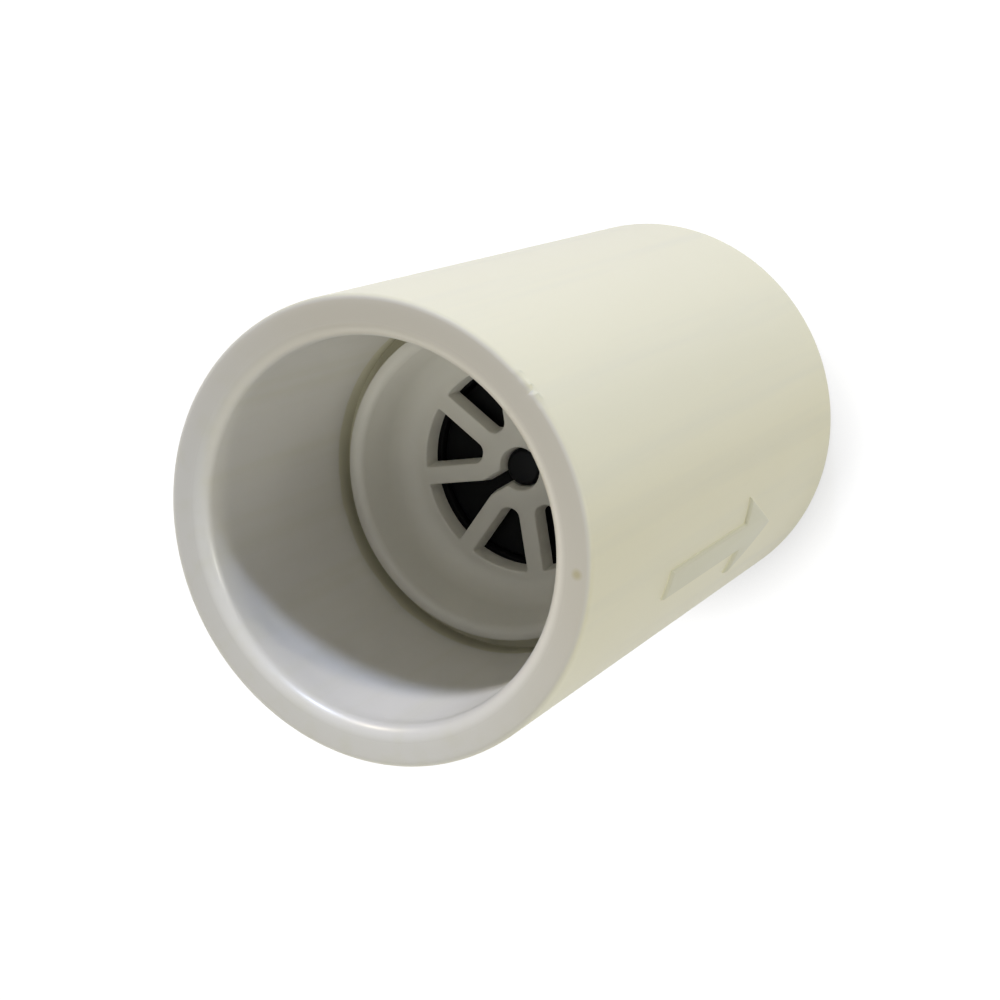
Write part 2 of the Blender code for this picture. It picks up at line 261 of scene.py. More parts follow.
# The valve body.
# One injection moulding in cream white PVC: a plain tube with a tapered pipe socket at each end, a
# shoulder and a bore for the inner parts, and a ledge that they are pushed down on.
body_steps = 288
body_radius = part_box("valve_body")[1].x
body_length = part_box("valve_body")[1].z
end_ring = 1.5 * MM
socket_mouth = 16.82 * MM
socket_root = 16.62 * MM
socket_depth = 22.0 * MM
shoulder_z = 37.3 * MM
core_bore = 15.7 * MM
ledge_top_z = 24.0 * MM
ledge_bore = 13.7 * MM
rim_round = 0.5 * MM
mouth_round = 1.3 * MM
step_round = 0.2 * MM
ledge_round = 0.3 * MM
weld = 0.0005 * MM
close_by = 0.01 * MM
sharp_edge = math.radians(35.0)
grain_height = 0.02 * MM


def spun(corners, steps, closed=True):
    """A shape turned about Z from the corners (radius, height) of its section."""
    shape = bmesh.new()
    verts = [shape.verts.new((radius, 0.0, height)) for radius, height in corners]
    edges = [shape.edges.new(pair) for pair in zip(verts, verts[1:])]
    if closed:
        edges.append(shape.edges.new((verts[-1], verts[0])))
    bmesh.ops.spin(shape, geom=verts + edges, cent=(0, 0, 0), axis=(0, 0, 1),
                   angle=2 * math.pi, steps=steps, use_merge=True)
    bmesh.ops.remove_doubles(shape, verts=shape.verts, dist=weld)
    bmesh.ops.recalc_face_normals(shape, faces=shape.faces)
    return shape


def round_rim(shape, radius, height, width, segments):
    """Round the ring of edges at one radius and height."""
    def on_ring(vert):
        near_radius = abs(math.hypot(vert.co.x, vert.co.y) - radius) < close_by
        return near_radius and abs(vert.co.z - height) < close_by

    ring = [edge for edge in shape.edges if all(on_ring(vert) for vert in edge.verts)]
    bmesh.ops.bevel(shape, geom=ring, offset=width, offset_type="OFFSET", segments=segments,
                    profile=0.5, affect="EDGES", material=-1, clamp_overlap=True)


def join(shape, part):
    """Add a finished part to a shape."""
    part_mesh = bpy.data.meshes.new("part")
    part.to_mesh(part_mesh)
    part.free()
    shape.from_mesh(part_mesh)
    bpy.data.meshes.remove(part_mesh)


def piece(name, shape, material, body, node):
    """Make the finished piece, smooth but for its sharp edges, riding on its body for its node."""
    mesh = bpy.data.meshes.new(name)
    shape.to_mesh(mesh)
    shape.free()
    mesh.materials.append(material)
    mesh.shade_smooth()
    mesh.set_sharp_from_angle(angle=sharp_edge)
    made = bpy.data.objects.new(name, mesh)
    bpy.context.collection.objects.link(made)
    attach(made, body)
    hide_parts(node)
    return made


def tone(red, green, blue):
    """A colour as it looks on screen, 0 to 255, turned into the shader's linear values."""
    return tuple(((level / 255 + 0.055) / 1.055) ** 2.4 for level in (red, green, blue)) + (1.0,)


def clouds(material, vector, scale, detail=2.0):
    """Soft noise over a vector, with a number of clouds to the metre."""
    texture = material.node_tree.nodes.new("ShaderNodeTexNoise")
    texture.inputs["Scale"].default_value = scale
    texture.inputs["Detail"].default_value = detail
    material.node_tree.links.new(vector, texture.inputs["Vector"])
    return texture.outputs["Fac"]


def moulded_plastic(name, colour, mottle, roughness, gloss_spread, skin, specular=0.5):
    """Moulded plastic: a colour with faint clouds in it, uneven gloss and a fine uneven skin."""
    material = bpy.data.materials.new(name)
    material.use_nodes = True
    nodes = material.node_tree.nodes
    links = material.node_tree.links
    shader = nodes["Principled BSDF"]
    shader.inputs["Specular IOR Level"].default_value = specular
    place = nodes.new("ShaderNodeTexCoord").outputs["Object"]
    colours = nodes.new("ShaderNodeMix")
    colours.data_type = "RGBA"
    colours.inputs["A"].default_value = colour
    colours.inputs["B"].default_value = mottle
    gloss = nodes.new("ShaderNodeMapRange")
    gloss.inputs["To Min"].default_value = roughness - gloss_spread
    gloss.inputs["To Max"].default_value = roughness + gloss_spread
    bump = nodes.new("ShaderNodeBump")
    bump.inputs["Strength"].default_value = skin
    bump.inputs["Distance"].default_value = grain_height
    links.new(clouds(material, place, scale=90.0, detail=4.0), colours.inputs["Factor"])
    links.new(clouds(material, place, scale=260.0, detail=3.0), gloss.inputs["Value"])
    links.new(clouds(material, place, scale=1500.0), bump.inputs["Height"])
    links.new(colours.outputs["Result"], shader.inputs["Base Color"])
    links.new(gloss.outputs["Result"], shader.inputs["Roughness"])
    links.new(bump.outputs["Normal"], shader.inputs["Normal"])
    return material


def stain_and_painted_light(material, mask, colour):
    """Lay a second colour over a material where a mask is 1, for stains and for painted light and
    shade.
    """
    nodes = material.node_tree.nodes
    links = material.node_tree.links
    shader = nodes["Principled BSDF"]
    under = shader.inputs["Base Color"].links[0].from_socket
    laid = nodes.new("ShaderNodeMix")
    laid.data_type = "RGBA"
    laid.inputs["B"].default_value = colour
    links.new(mask, laid.inputs["Factor"])
    links.new(under, laid.inputs["A"])
    links.new(laid.outputs["Result"], shader.inputs["Base Color"])


def polish(material, mask, roughness):
    """Make a material smoother where a mask is 1."""
    nodes = material.node_tree.nodes
    links = material.node_tree.links
    shader = nodes["Principled BSDF"]
    rougher = shader.inputs["Roughness"].links[0].from_socket
    mixed = nodes.new("ShaderNodeMix")
    mixed.inputs["B"].default_value = roughness
    links.new(mask, mixed.inputs["Factor"])
    links.new(rougher, mixed.inputs["A"])
    links.new(mixed.outputs["Result"], shader.inputs["Roughness"])


body_pvc = moulded_plastic("body pvc", tone(238, 236, 231), tone(234, 232, 226), 0.45, 0.05, 0.25,
                           specular=0.22)
nodes = body_pvc.node_tree.nodes
links = body_pvc.node_tree.links
shader = nodes["Principled BSDF"]
place = nodes["Texture Coordinate"]
apart = nodes.new("ShaderNodeSeparateXYZ")
flat = nodes.new("ShaderNodeCombineXYZ")
radius = nodes.new("ShaderNodeVectorMath")
radius.operation = "LENGTH"
links.new(place.outputs["Object"], apart.inputs["Vector"])
links.new(apart.outputs["X"], flat.inputs["X"])
links.new(apart.outputs["Y"], flat.inputs["Y"])
links.new(flat.outputs["Vector"], radius.inputs[0])
height = apart.outputs["Z"]
reach = radius.outputs["Value"]
half_length = body_length / 2
from_middle = combine(body_pvc, "SUBTRACT", height, half_length)
end_way = combine(body_pvc, "ABSOLUTE", from_middle, 0.0)

# Painted warm light: the outside is tinted a little more yellow than the inside, and on the side
# turned to the lamps the tint goes on over the edge of the rim.
warm_light_heading = math.radians(290.0)
warm_light_blend = 10.0 * MM
yellow_stops = 0.5 * MM
yellow_fades = 0.4 * MM
yellow_full = 0.1 * MM
warm_lit_side = edge_mask(body_pvc, along_heading(body_pvc, warm_light_heading),
                          -warm_light_blend, warm_light_blend)
between_ends = edge_mask(body_pvc, end_way, half_length, half_length - yellow_stops)
warm_tint_depth = edge_mask(body_pvc, reach, body_radius - yellow_fades, body_radius - yellow_full)
over_edge = combine(body_pvc, "MAXIMUM", between_ends, warm_lit_side)
stain_and_painted_light(body_pvc, combine(body_pvc, "MULTIPLY", over_edge, warm_tint_depth), tone(239, 235, 212))

# A polished core left the sockets smoother, and their rounded mouths, drawn over the end of the
# core, have the most gloss.
core_polish_starts = 1.4 * MM
core_polish_full = 2.2 * MM
mouth_gloss_fades = 2.6 * MM
mouth_gloss_full = 1.4 * MM
mouth_gloss_outer = 1.5 * MM
mouth_gloss_inner = 0.9 * MM
in_socket = edge_mask(body_pvc, reach, body_radius - core_polish_starts,
                      body_radius - core_polish_full)
polish(body_pvc, in_socket, 0.27)
mouth_band = edge_mask(body_pvc, end_way, half_length - mouth_gloss_fades,
                       half_length - mouth_gloss_full)
mouth_depth = edge_mask(body_pvc, reach, socket_mouth + mouth_gloss_outer,
                        socket_mouth + mouth_gloss_inner)
links.new(combine(body_pvc, "MULTIPLY", mouth_band, mouth_depth), shader.inputs["Coat Weight"])
shader.inputs["Coat Roughness"].default_value = 0.42
shader.inputs["Coat IOR"].default_value = 1.8

# Faint long streaks, where the moulding slid off its core and out of the tool.
streak_stretch = 0.03
streak_from = 0.48
streak_full = 1.1
along = nodes.new("ShaderNodeMapping")
along.inputs["Scale"].default_value = (1.0, 1.0, streak_stretch)
links.new(place.outputs["Object"], along.inputs["Vector"])
streaks = clouds(body_pvc, along.outputs["Vector"], scale=420.0, detail=3.0)
stain_and_painted_light(body_pvc, edge_mask(body_pvc, streaks, streak_from, streak_full), tone(229, 227, 211))

# Painted warm light: the face of the inlet rim is tinted a little more yellow on the side turned to
# the lamps.
rim_tint_starts = 1.0 * MM
rim_tint_full = 0.4 * MM
rim_tint_outer = 0.1 * MM
rim_tint_inner = 0.5 * MM
rim_top = edge_mask(body_pvc, height, body_length - rim_tint_starts, body_length - rim_tint_full)
rim_inner = edge_mask(body_pvc, reach, body_radius - rim_tint_outer, body_radius - rim_tint_inner)
rim_face = combine(body_pvc, "MULTIPLY", rim_top, rim_inner)
stain_and_painted_light(body_pvc, combine(body_pvc, "MULTIPLY", warm_lit_side, rim_face), tone(233, 227, 212))

# Painted shade: the raised arrow is painted a little darker and more olive than the body around it.
arrow_shade_starts = 0.02 * MM
arrow_shade_full = 0.15 * MM
raised = edge_mask(body_pvc, reach, body_radius + arrow_shade_starts, body_radius + arrow_shade_full)
stain_and_painted_light(body_pvc, raised, tone(224, 222, 203))

# Painted shade: a dark olive line on the wall of the groove round the collar of the insert, where
# the groove lies in shade.
groove_top_z = 39.3 * MM
groove_shade_wander = 0.5 * MM
groove_shade_top_fades = 0.4 * MM
groove_shade_top_full = 0.1 * MM
groove_shade_root_starts = 0.3 * MM
groove_shade_root_full = 0.2 * MM
groove_shade_outer_starts = 1.0 * MM
groove_shade_outer_full = 1.1 * MM
wander = clouds(body_pvc, place.outputs["Object"], scale=350.0)
level = combine(body_pvc, "ADD", height, combine(body_pvc, "MULTIPLY", wander, groove_shade_wander))
below = edge_mask(body_pvc, level, groove_top_z + groove_shade_top_fades,
                  groove_top_z + groove_shade_top_full)
above = edge_mask(body_pvc, height, shoulder_z - groove_shade_root_starts,
                  shoulder_z - groove_shade_root_full)
inside = edge_mask(body_pvc, reach, body_radius - groove_shade_outer_starts,
                   body_radius - groove_shade_outer_full)
in_groove = combine(body_pvc, "MULTIPLY", combine(body_pvc, "MULTIPLY", below, above), inside)
stain_and_painted_light(body_pvc, in_groove, tone(224, 221, 200))

# The small tan mark of the moulding gate on the inlet rim.
gate_angle = math.radians(240.0)
gate_radius = 19.1 * MM
gate_edge = 0.8 * MM
gate_core = 0.4 * MM
gate_wander = 0.4 * MM
gate = nodes.new("ShaderNodeVectorMath")
gate.operation = "DISTANCE"
gate.inputs[1].default_value = (gate_radius * math.cos(gate_angle),
                                gate_radius * math.sin(gate_angle), body_length)
links.new(place.outputs["Object"], gate.inputs[0])
from_gate = combine(body_pvc, "ADD", gate.outputs["Value"],
                    combine(body_pvc, "MULTIPLY", wander, gate_wander))
stain_and_painted_light(body_pvc, edge_mask(body_pvc, from_gate, gate_edge, gate_core), tone(216, 207, 172))

# Small nicks and scraps of flash sit on the outer edge of the inlet rim. A ring of edges keeps the
# face of the rim flat inside of them.
nick_ring = 0.9 * MM
nick_zone = 0.6 * MM
nicked_from = math.radians(279.0)
nicked_to = math.radians(293.0)
nick_pitch = math.radians(3.4)
nick_grain = 0.5 * MM
nick_depth = 0.16 * MM
nick_sink = 0.3
body_shape = spun([
    (body_radius, 0.0),
    (body_radius, end_ring),
    (body_radius, body_length - end_ring),
    (body_radius, body_length - nick_ring),
    (body_radius, body_length),
    (body_radius - nick_ring, body_length),
    (socket_mouth, body_length),
    (socket_root, shoulder_z),
    (core_bore, shoulder_z),
    (core_bore, ledge_top_z),
    (ledge_bore, ledge_top_z),
    (ledge_bore, socket_depth),
    (socket_root, socket_depth),
    (socket_mouth, 0.0),
], body_steps)
for end_z in (0.0, body_length):
    round_rim(body_shape, body_radius, end_z, rim_round, 4)
    round_rim(body_shape, socket_mouth, end_z, mouth_round, 8)
round_rim(body_shape, core_bore, shoulder_z, step_round, 2)
round_rim(body_shape, ledge_bore, ledge_top_z, step_round, 2)
round_rim(body_shape, ledge_bore, socket_depth, ledge_round, 3)
for vert in body_shape.verts:
    angle = math.atan2(vert.co.y, vert.co.x) % (2 * math.pi)
    at_top = vert.co.z > body_length - nick_zone
    at_edge = math.hypot(vert.co.x, vert.co.y) > body_radius - nick_zone
    if at_top and at_edge and nicked_from < angle < nicked_to:
        fade = math.sin(math.pi * (angle - nicked_from) / (nicked_to - nicked_from))
        wave = math.sin(2 * math.pi * (angle - nicked_from) / nick_pitch)
        push = nick_depth * fade * (wave + noise.noise(vert.co / nick_grain))
        vert.co += Vector((push * math.cos(angle), push * math.sin(angle),
                           nick_sink * min(0.0, push)))

# The flow arrow, raised on the side of the body, from the inlet to the outlet.
arrow_angle = math.radians(224.0)
arrow_tail_z = 43.0 * MM
arrow_neck_z = 24.5 * MM
arrow_tip_z = 16.5 * MM
arrow_half = 1.5 * MM
arrow_head_half = 4.2 * MM
arrow_height = 0.38 * MM
arrow_root = 0.3 * MM
arrow_edge_round = 0.34 * MM
arrow_cuts = 7
arrow_cut_width = 0.5 * MM
arrow_weld = 0.005 * MM
arrow = bmesh.new()
arrow_outline = [
    (-arrow_half, arrow_tail_z),
    (-arrow_half, arrow_neck_z),
    (-arrow_head_half, arrow_neck_z),
    (0.0, arrow_tip_z),
    (arrow_head_half, arrow_neck_z),
    (arrow_half, arrow_neck_z),
    (arrow_half, arrow_tail_z),
]
arrow_verts = [arrow.verts.new((across, 0.0, height)) for across, height in arrow_outline]
arrow_face = arrow.faces.new(arrow_verts)
lifted = bmesh.ops.extrude_face_region(arrow, geom=[arrow_face])
arrow_top = [item for item in lifted["geom"] if isinstance(item, bmesh.types.BMVert)]
bmesh.ops.translate(arrow, verts=arrow_top, vec=(0, arrow_height + arrow_root, 0))
top_edges = [edge for edge in arrow.edges if all(vert.co.y > 0 for vert in edge.verts)]
bmesh.ops.bevel(arrow, geom=top_edges, offset=arrow_edge_round, offset_type="OFFSET", segments=5,
                profile=0.5, affect="EDGES", material=-1)
for cut in range(-arrow_cuts, arrow_cuts + 1):
    bmesh.ops.bisect_plane(arrow, geom=arrow.verts[:] + arrow.edges[:] + arrow.faces[:],
                           plane_co=(cut * arrow_cut_width, 0, 0), plane_no=(1, 0, 0))
bmesh.ops.remove_doubles(arrow, verts=arrow.verts, dist=arrow_weld)
for vert in arrow.verts:
    angle = arrow_angle + vert.co.x / body_radius
    out = body_radius - arrow_root + vert.co.y
    vert.co = Vector((out * math.cos(angle), out * math.sin(angle), vert.co.z))
join(body_shape, arrow)
bmesh.ops.recalc_face_normals(body_shape, faces=body_shape.faces)
piece("moulded_body", body_shape, body_pvc, "housing", "valve_body")


# The seat insert.
# A separate PVC moulding welded into the body: a round collar that the pipe stops on, a bowl shaped
# throat, the plate with eight ports and a slotted hub, and behind it the seat bead and the barrel.
barrel_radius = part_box("seat_insert")[1].x
barrel_end_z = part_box("seat_insert")[0].z
collar_top_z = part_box("seat_insert")[1].z
throat_mouth = 14.2 * MM
throat_root = 12.9 * MM
plate_front_z = 33.3 * MM
plate_back_z = 31.5 * MM
plate_front_rim = 10.55 * MM
plate_back_rim = 10.32 * MM
bead_inner = 10.45 * MM
bead_outer = 11.25 * MM
bead_z = 31.1 * MM
chamber = 13.9 * MM
port_count = 8
port_circle = 10.2 * MM
spoke_half = 0.875 * MM
hub_radius = 4.2 * MM
hub_hole = 2.1 * MM
slot_half = 0.8 * MM
slot_angle = math.radians(95.0)
slot_corner = 0.3 * MM
port_outer_corner = 0.25 * MM
port_inner_corner = 0.6 * MM
port_arc_steps = 16
hub_arc_steps = 40
port_edge_round = 0.16 * MM
port_draft = 0.25 * MM
plate_weld = 0.002 * MM
wall_slope = 0.5
least_slant = 0.5
corner_turn = 1.0
half_pitch = math.pi / port_count
throat_round = 2.2 * MM
collar_round = 0.75 * MM
collar_edge_round = 0.15 * MM
barrel_round = 0.4 * MM
chamber_round = 0.5 * MM
bead_round = 0.27 * MM


def beside_spoke(radius):
    """Point of a port's straight side at a radius, for a port that lies along +X."""
    along = math.sqrt(radius ** 2 - spoke_half ** 2)
    return Vector((
        along * math.cos(half_pitch) + spoke_half * math.sin(half_pitch),
        along * math.sin(half_pitch) - spoke_half * math.cos(half_pitch),
        0.0,
    ))


def arc(shape, start, angle, steps):
    """Sweep a vertex about Z and return the vertices of the arc, in order."""
    first = shape.verts.new(start)
    swept = bmesh.ops.spin(shape, geom=[first], cent=(0, 0, 0), axis=(0, 0, 1), angle=angle,
                           steps=steps)
    last = swept["geom_last"][0]
    chain = [first]
    while chain[-1] is not last:
        onward = [edge.other_vert(chain[-1]) for edge in chain[-1].link_edges]
        chain.append(next(vert for vert in onward if vert not in chain[-2:]))
    return chain


def soften_corners(shape, corners, width):
    """Round the corners of a flat outline."""
    bmesh.ops.bevel(shape, geom=corners, offset=width, offset_type="OFFSET", segments=4,
                    profile=0.5, affect="VERTICES", material=-1)


def port_loop(turn):
    """Outline of one closed port: an outer arc and two sides along the spokes."""
    loop = bmesh.new()
    outer = beside_spoke(port_circle)
    inner = beside_spoke(hub_radius)
    sweep = 2 * math.atan2(outer.y, outer.x)
    rim = arc(loop, (outer.x, -outer.y, 0.0), sweep, port_arc_steps)
    low = loop.verts.new((inner.x, -inner.y, 0.0))
    high = loop.verts.new((inner.x, inner.y, 0.0))
    loop.edges.new((rim[0], low))
    loop.edges.new((low, high))
    loop.edges.new((high, rim[-1]))
    soften_corners(loop, [rim[0], rim[-1]], port_outer_corner)
    soften_corners(loop, [low, high], port_inner_corner)
    bmesh.ops.rotate(loop, verts=loop.verts, cent=(0, 0, 0), matrix=Matrix.Rotation(turn, 3, "Z"))
    return loop


def slotted_loop(turn):
    """Outline of the slotted port: it runs on through the hub ring and round the hub hole."""
    loop = bmesh.new()
    outer = beside_spoke(port_circle)
    sweep = 2 * math.atan2(outer.y, outer.x)
    rim = arc(loop, (outer.x, -outer.y, 0.0), sweep, port_arc_steps)
    along = (slot_half + spoke_half * math.cos(half_pitch)) / math.sin(half_pitch)
    neck_x = along * math.cos(half_pitch) + spoke_half * math.sin(half_pitch)
    mouth_x = math.sqrt(hub_hole ** 2 - slot_half ** 2)
    mouth_angle = math.atan2(slot_half, mouth_x)
    round_hub = 2 * math.pi - 2 * mouth_angle
    hole = arc(loop, (mouth_x, slot_half, 0.0), round_hub, hub_arc_steps)
    neck_low = loop.verts.new((neck_x, -slot_half, 0.0))
    neck_high = loop.verts.new((neck_x, slot_half, 0.0))
    loop.edges.new((rim[0], neck_low))
    loop.edges.new((neck_low, hole[-1]))
    loop.edges.new((hole[0], neck_high))
    loop.edges.new((neck_high, rim[-1]))
    soften_corners(loop, [rim[0], rim[-1]], port_outer_corner)
    soften_corners(loop, [hole[0], hole[-1]], slot_corner)
    bmesh.ops.rotate(loop, verts=loop.verts, cent=(0, 0, 0), matrix=Matrix.Rotation(turn, 3, "Z"))
    return loop


def add_outline(shape, loop):
    """Copy the edges of an outline into a shape."""
    twin = {vert: shape.verts.new(vert.co) for vert in loop.verts}
    for edge in loop.edges:
        shape.edges.new([twin[vert] for vert in edge.verts])
    loop.free()


def build_plate():
    """The port plate with its holes, open at its rim, where it joins the throat and the seat."""
    plate = bmesh.new()
    bmesh.ops.create_circle(plate, segments=body_steps, radius=plate_front_rim)
    add_outline(plate, slotted_loop(slot_angle))
    for index in range(1, port_count):
        add_outline(plate, port_loop(slot_angle + 2 * math.pi * index / port_count))
    bmesh.ops.triangle_fill(plate, use_beauty=True, use_dissolve=False, edges=plate.edges,
                            normal=(0, 0, 1))
    bmesh.ops.translate(plate, verts=plate.verts, vec=(0, 0, plate_front_z))
    lifted = bmesh.ops.extrude_face_region(plate, geom=list(plate.faces))
    back = [item for item in lifted["geom"] if isinstance(item, bmesh.types.BMVert)]
    bmesh.ops.translate(plate, verts=back, vec=(0, 0, plate_back_z - plate_front_z))
    bmesh.ops.recalc_face_normals(plate, faces=plate.faces)

    def at_rim(vert):
        return math.hypot(vert.co.x, vert.co.y) > plate_front_rim - close_by

    def at_back(vert):
        return vert.co.z < (plate_front_z + plate_back_z) / 2

    rim_wall = [face for face in plate.faces if all(at_rim(vert) for vert in face.verts)]
    bmesh.ops.delete(plate, geom=rim_wall, context="FACES")
    back_rim = [vert for vert in plate.verts if at_rim(vert) and at_back(vert)]
    shrink = plate_back_rim / plate_front_rim
    bmesh.ops.scale(plate, verts=back_rim, vec=(shrink, shrink, 1.0))

    # The ports narrow a little towards the back, as moulded holes do.
    moves = {}
    for vert in plate.verts:
        walls = [face for face in vert.link_faces if abs(face.normal.z) < wall_slope]
        if walls and at_back(vert) and not at_rim(vert):
            into_port = sum((face.normal for face in walls), Vector()).normalized()
            slant = max(least_slant, into_port.dot(walls[0].normal))
            moves[vert] = into_port * (port_draft / slant)
    for vert, move in moves.items():
        vert.co += move

    def on_port_edge(edge):
        high = all(vert.co.z > plate_front_z - close_by for vert in edge.verts)
        return high and len(edge.link_faces) == 2 and edge.calc_face_angle() > corner_turn

    bmesh.ops.bevel(plate, geom=[edge for edge in plate.edges if on_port_edge(edge)],
                    offset=port_edge_round, offset_type="OFFSET", segments=3, profile=0.5,
                    affect="EDGES", material=-1)
    return plate


insert_pvc = moulded_plastic("insert pvc", tone(234, 232, 224), tone(229, 227, 218), 0.42, 0.05,
                             0.3)
insert_shape = spun([
    (plate_front_rim, plate_front_z),
    (throat_root, plate_front_z),
    (throat_mouth, collar_top_z),
    (barrel_radius, collar_top_z),
    (barrel_radius, barrel_end_z),
    (chamber, barrel_end_z),
    (chamber, plate_back_z),
    (bead_outer, plate_back_z),
    (bead_outer, bead_z),
    (bead_inner, bead_z),
    (bead_inner, plate_back_z),
    (plate_back_rim, plate_back_z),
], body_steps, closed=False)
round_rim(insert_shape, throat_root, plate_front_z, throat_round, 12)
round_rim(insert_shape, throat_mouth, collar_top_z, collar_round, 6)
round_rim(insert_shape, barrel_radius, collar_top_z, collar_edge_round, 3)
round_rim(insert_shape, barrel_radius, barrel_end_z, barrel_round, 3)
round_rim(insert_shape, chamber, plate_back_z, chamber_round, 4)
round_rim(insert_shape, bead_outer, bead_z, bead_round, 4)
round_rim(insert_shape, bead_inner, bead_z, bead_round, 4)
join(insert_shape, build_plate())
bmesh.ops.remove_doubles(insert_shape, verts=insert_shape.verts, dist=plate_weld)
bmesh.ops.recalc_face_normals(insert_shape, faces=insert_shape.faces)
piece("ported_insert", insert_shape, insert_pvc, "housing", "seat_insert")


# The poppet.
# One black plastic moulding: a disc with a pin in the hub hole, a boss that the seal sits round,
# six ribs on its back and a long stem that runs in the outlet cage.
flange_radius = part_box("poppet")[1].x
pin_top_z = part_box("poppet")[1].z
stem_end_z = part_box("poppet")[0].z
flange_front_z = 28.9 * MM
flange_back_z = 27.4 * MM
boss_radius = 9.5 * MM
boss_top_z = 30.55 * MM
pin_radius = 1.8 * MM
spring_boss_radius = 3.45 * MM
spring_boss_end_z = 26.2 * MM
stem_radius = 1.6 * MM
pin_round = 0.4 * MM
root_round = 0.3 * MM
boss_round = 0.2 * MM
flange_round = 0.3 * MM
stem_round = 0.5 * MM
poppet_steps = 128
rib_count = 6
rib_width = 0.9 * MM
rib_start = 4.6 * MM
rib_end = 10.8 * MM
rib_height = 1.2 * MM
rib_tip_height = 0.4 * MM
rib_sink = 0.3 * MM
rib_round = 0.15 * MM


def add_fin(shape, corners, width, turn, edge_round, segments):
    """Add a flat fin from the corners (radius, height) of its side, turned about Z."""
    near = [shape.verts.new((radius, -width / 2, height)) for radius, height in corners]
    side = shape.faces.new(near)
    lifted = bmesh.ops.extrude_face_region(shape, geom=[side])
    far = [item for item in lifted["geom"] if isinstance(item, bmesh.types.BMVert)]
    bmesh.ops.translate(shape, verts=far, vec=(0, width, 0))
    edges = dict.fromkeys(edge for vert in near + far for edge in vert.link_edges)
    bmesh.ops.rotate(shape, verts=near + far, cent=(0, 0, 0), matrix=Matrix.Rotation(turn, 3, "Z"))
    bmesh.ops.bevel(shape, geom=list(edges), offset=edge_round, offset_type="OFFSET",
                    segments=segments, profile=0.5, affect="EDGES", material=-1)


black_plastic = moulded_plastic("black plastic", tone(15, 16, 17), tone(11, 12, 13), 0.45, 0.06,
                                0.3, specular=0.12)
poppet_shape = spun([
    (0.0, pin_top_z),
    (pin_radius, pin_top_z),
    (pin_radius, boss_top_z),
    (boss_radius, boss_top_z),
    (boss_radius, flange_front_z),
    (flange_radius, flange_front_z),
    (flange_radius, flange_back_z),
    (spring_boss_radius, flange_back_z),
    (spring_boss_radius, spring_boss_end_z),
    (stem_radius, spring_boss_end_z),
    (stem_radius, stem_end_z),
    (0.0, stem_end_z),
], poppet_steps, closed=False)
round_rim(poppet_shape, pin_radius, pin_top_z, pin_round, 4)
round_rim(poppet_shape, pin_radius, boss_top_z, root_round, 3)
round_rim(poppet_shape, boss_radius, boss_top_z, boss_round, 3)
round_rim(poppet_shape, flange_radius, flange_front_z, flange_round, 3)
round_rim(poppet_shape, flange_radius, flange_back_z, flange_round, 3)
round_rim(poppet_shape, spring_boss_radius, spring_boss_end_z, root_round, 3)
round_rim(poppet_shape, stem_radius, stem_end_z, stem_round, 4)
rib_corners = [
    (rib_start, flange_back_z + rib_sink),
    (rib_start, flange_back_z - rib_height),
    (rib_end, flange_back_z - rib_tip_height),
    (rib_end, flange_back_z + rib_sink),
]
for index in range(rib_count):
    rib_turn = 2 * math.pi * index / rib_count
    add_fin(poppet_shape, rib_corners, rib_width, rib_turn, rib_round, 2)
bmesh.ops.recalc_face_normals(poppet_shape, faces=poppet_shape.faces)
piece("black_poppet", poppet_shape, black_plastic, "poppet_assembly", "poppet")


# The seal washer.
# A flat ring of black rubber, stretched over the boss of the poppet, which closes on the seat bead.
washer_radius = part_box("seal_washer")[1].x
washer_bottom_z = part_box("seal_washer")[0].z
washer_top_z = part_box("seal_washer")[1].z
washer_hole = 9.8 * MM
washer_round = 0.2 * MM

black_rubber = moulded_plastic("black rubber", tone(17, 17, 18), tone(12, 12, 13), 0.68, 0.08, 0.5,
                               specular=0.12)
washer_shape = spun([
    (washer_hole, washer_bottom_z),
    (washer_radius, washer_bottom_z),
    (washer_radius, washer_top_z),
    (washer_hole, washer_top_z),
], poppet_steps)
for radius in (washer_hole, washer_radius):
    for height in (washer_bottom_z, washer_top_z):
        round_rim(washer_shape, radius, height, washer_round, 4)
piece("rubber_washer", washer_shape, black_rubber, "poppet_assembly", "seal_washer")


# The closing spring.
# Stainless wire wound round a mandrel, with a closed turn at each end. It stands on the cage hub,
# pushes the poppet shut, and shortens as the poppet opens.
wire_radius = 0.25 * MM
coil_radius = 4.0 * MM
spring_bottom_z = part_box("closing_spring")[0].z
spring_top_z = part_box("closing_spring")[1].z
wire_sides = 16
turn_steps = 48
end_turns = 1.0
end_pitch = 0.62 * MM
middle_turns = 4.0

steel = bpy.data.materials.new("spring steel")
steel.use_nodes = True
nodes = steel.node_tree.nodes
links = steel.node_tree.links
shader = nodes["Principled BSDF"]
shader.inputs["Metallic"].default_value = 1.0
place = nodes.new("ShaderNodeTexCoord")
drawing = clouds(steel, place.outputs["Object"], scale=900.0)
tint = nodes.new("ShaderNodeMix")
tint.data_type = "RGBA"
tint.inputs["A"].default_value = tone(196, 194, 190)
tint.inputs["B"].default_value = tone(168, 166, 162)
dullness = nodes.new("ShaderNodeMapRange")
dullness.inputs["To Min"].default_value = 0.24
dullness.inputs["To Max"].default_value = 0.4
links.new(drawing, tint.inputs["Factor"])
links.new(tint.outputs["Result"], shader.inputs["Base Color"])
links.new(drawing, dullness.inputs["Value"])
links.new(dullness.outputs["Result"], shader.inputs["Roughness"])

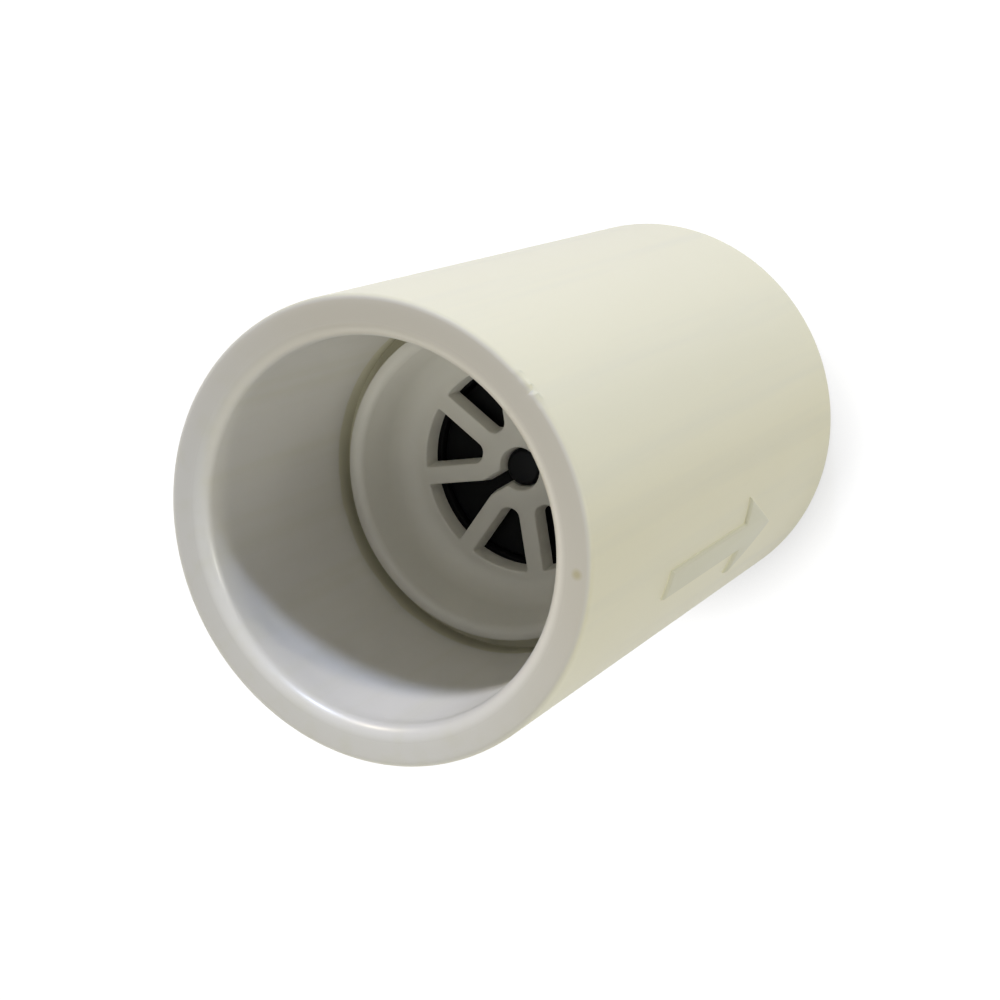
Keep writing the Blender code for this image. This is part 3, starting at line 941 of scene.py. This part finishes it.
coil = bmesh.new()
wire_start = bmesh.ops.create_circle(coil, cap_ends=True, segments=wire_sides, radius=wire_radius)
bmesh.ops.rotate(coil, verts=wire_start["verts"], cent=(0, 0, 0),
                 matrix=Matrix.Rotation(math.pi / 2, 3, "X"))
bmesh.ops.translate(coil, verts=wire_start["verts"],
                    vec=(coil_radius, 0, spring_bottom_z + wire_radius))
middle_rise = spring_top_z - spring_bottom_z - 2 * wire_radius - 2 * end_turns * end_pitch
wire_end = list(coil.faces)
for turns, rise in ((end_turns, end_turns * end_pitch), (middle_turns, middle_rise),
                    (end_turns, end_turns * end_pitch)):
    steps = round(turns * turn_steps)
    swept = bmesh.ops.spin(coil, geom=wire_end, cent=(0, 0, 0), axis=(0, 0, 1),
                           dvec=(0, 0, rise / steps), angle=2 * math.pi * turns, steps=steps)
    wire_end = [item for item in swept["geom_last"] if isinstance(item, bmesh.types.BMFace)]
bmesh.ops.remove_doubles(coil, verts=coil.verts, dist=weld)

# The walls inside the wire, where one length of it goes on as the next, are taken out.
inner_walls = [face for face in coil.faces if all(len(edge.link_faces) > 2 for edge in face.edges)]
bmesh.ops.delete(coil, geom=inner_walls, context="FACES_ONLY")
bmesh.ops.recalc_face_normals(coil, faces=coil.faces)
spring_piece = piece("wire_spring", coil, steel, "housing", "closing_spring")
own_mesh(spring_piece)


# The outlet cage.
# A PVC moulding that lies on the ledge of the body: a ring, four legs that stop the disc, and a hub
# that guides the stem and carries the spring.
cage_ring_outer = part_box("outlet_cage")[1].x
cage_ring_inner = 13.4 * MM
cage_ring_bottom_z = 24.3 * MM
cage_ring_top_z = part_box("outlet_cage")[1].z
cage_hub_bottom_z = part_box("outlet_cage")[0].z
cage_hub_top_z = 18.6 * MM
cage_hub_radius = 4.6 * MM
cage_hub_bore = 1.9 * MM
leg_count = 4
leg_width = 2.0 * MM
leg_inner = 12.2 * MM
leg_shelf_z = 22.6 * MM
leg_heel_z = 21.4 * MM
leg_sink = 0.4 * MM
leg_round = 0.25 * MM
ring_round = 0.2 * MM
hub_round = 0.4 * MM
hub_bore_round = 0.2 * MM

cage_pvc = moulded_plastic("cage pvc", tone(232, 230, 222), tone(227, 225, 216), 0.42, 0.05, 0.3)
cage_shape = spun([
    (cage_ring_inner, cage_ring_bottom_z),
    (cage_ring_outer, cage_ring_bottom_z),
    (cage_ring_outer, cage_ring_top_z),
    (cage_ring_inner, cage_ring_top_z),
], body_steps)
for radius in (cage_ring_inner, cage_ring_outer):
    for height in (cage_ring_bottom_z, cage_ring_top_z):
        round_rim(cage_shape, radius, height, ring_round, 2)
hub_shape = spun([
    (cage_hub_bore, cage_hub_bottom_z),
    (cage_hub_radius, cage_hub_bottom_z),
    (cage_hub_radius, cage_hub_top_z),
    (cage_hub_bore, cage_hub_top_z),
], poppet_steps)
for height in (cage_hub_bottom_z, cage_hub_top_z):
    round_rim(hub_shape, cage_hub_radius, height, hub_round, 4)
    round_rim(hub_shape, cage_hub_bore, height, hub_bore_round, 3)
legs_shape = bmesh.new()
ring_middle = (cage_ring_inner + cage_ring_outer) / 2
hub_middle = (cage_hub_bore + cage_hub_radius) / 2
leg_corners = [
    (ring_middle, cage_ring_top_z - leg_sink),
    (leg_inner, cage_ring_top_z - leg_sink),
    (leg_inner, leg_shelf_z),
    (hub_middle, cage_hub_top_z - leg_sink),
    (hub_middle, cage_hub_bottom_z + leg_sink),
    (cage_ring_inner, leg_heel_z),
    (cage_ring_inner, cage_ring_bottom_z + leg_sink),
    (ring_middle, cage_ring_bottom_z + leg_sink),
]
for index in range(leg_count):
    leg_turn = slot_angle + 2 * math.pi * index / leg_count
    add_fin(legs_shape, leg_corners, leg_width, leg_turn, leg_round, 3)
join(cage_shape, hub_shape)
join(cage_shape, legs_shape)
bmesh.ops.recalc_face_normals(cage_shape, faces=cage_shape.faces)
piece("spider_cage", cage_shape, cage_pvc, "housing", "outlet_cage")
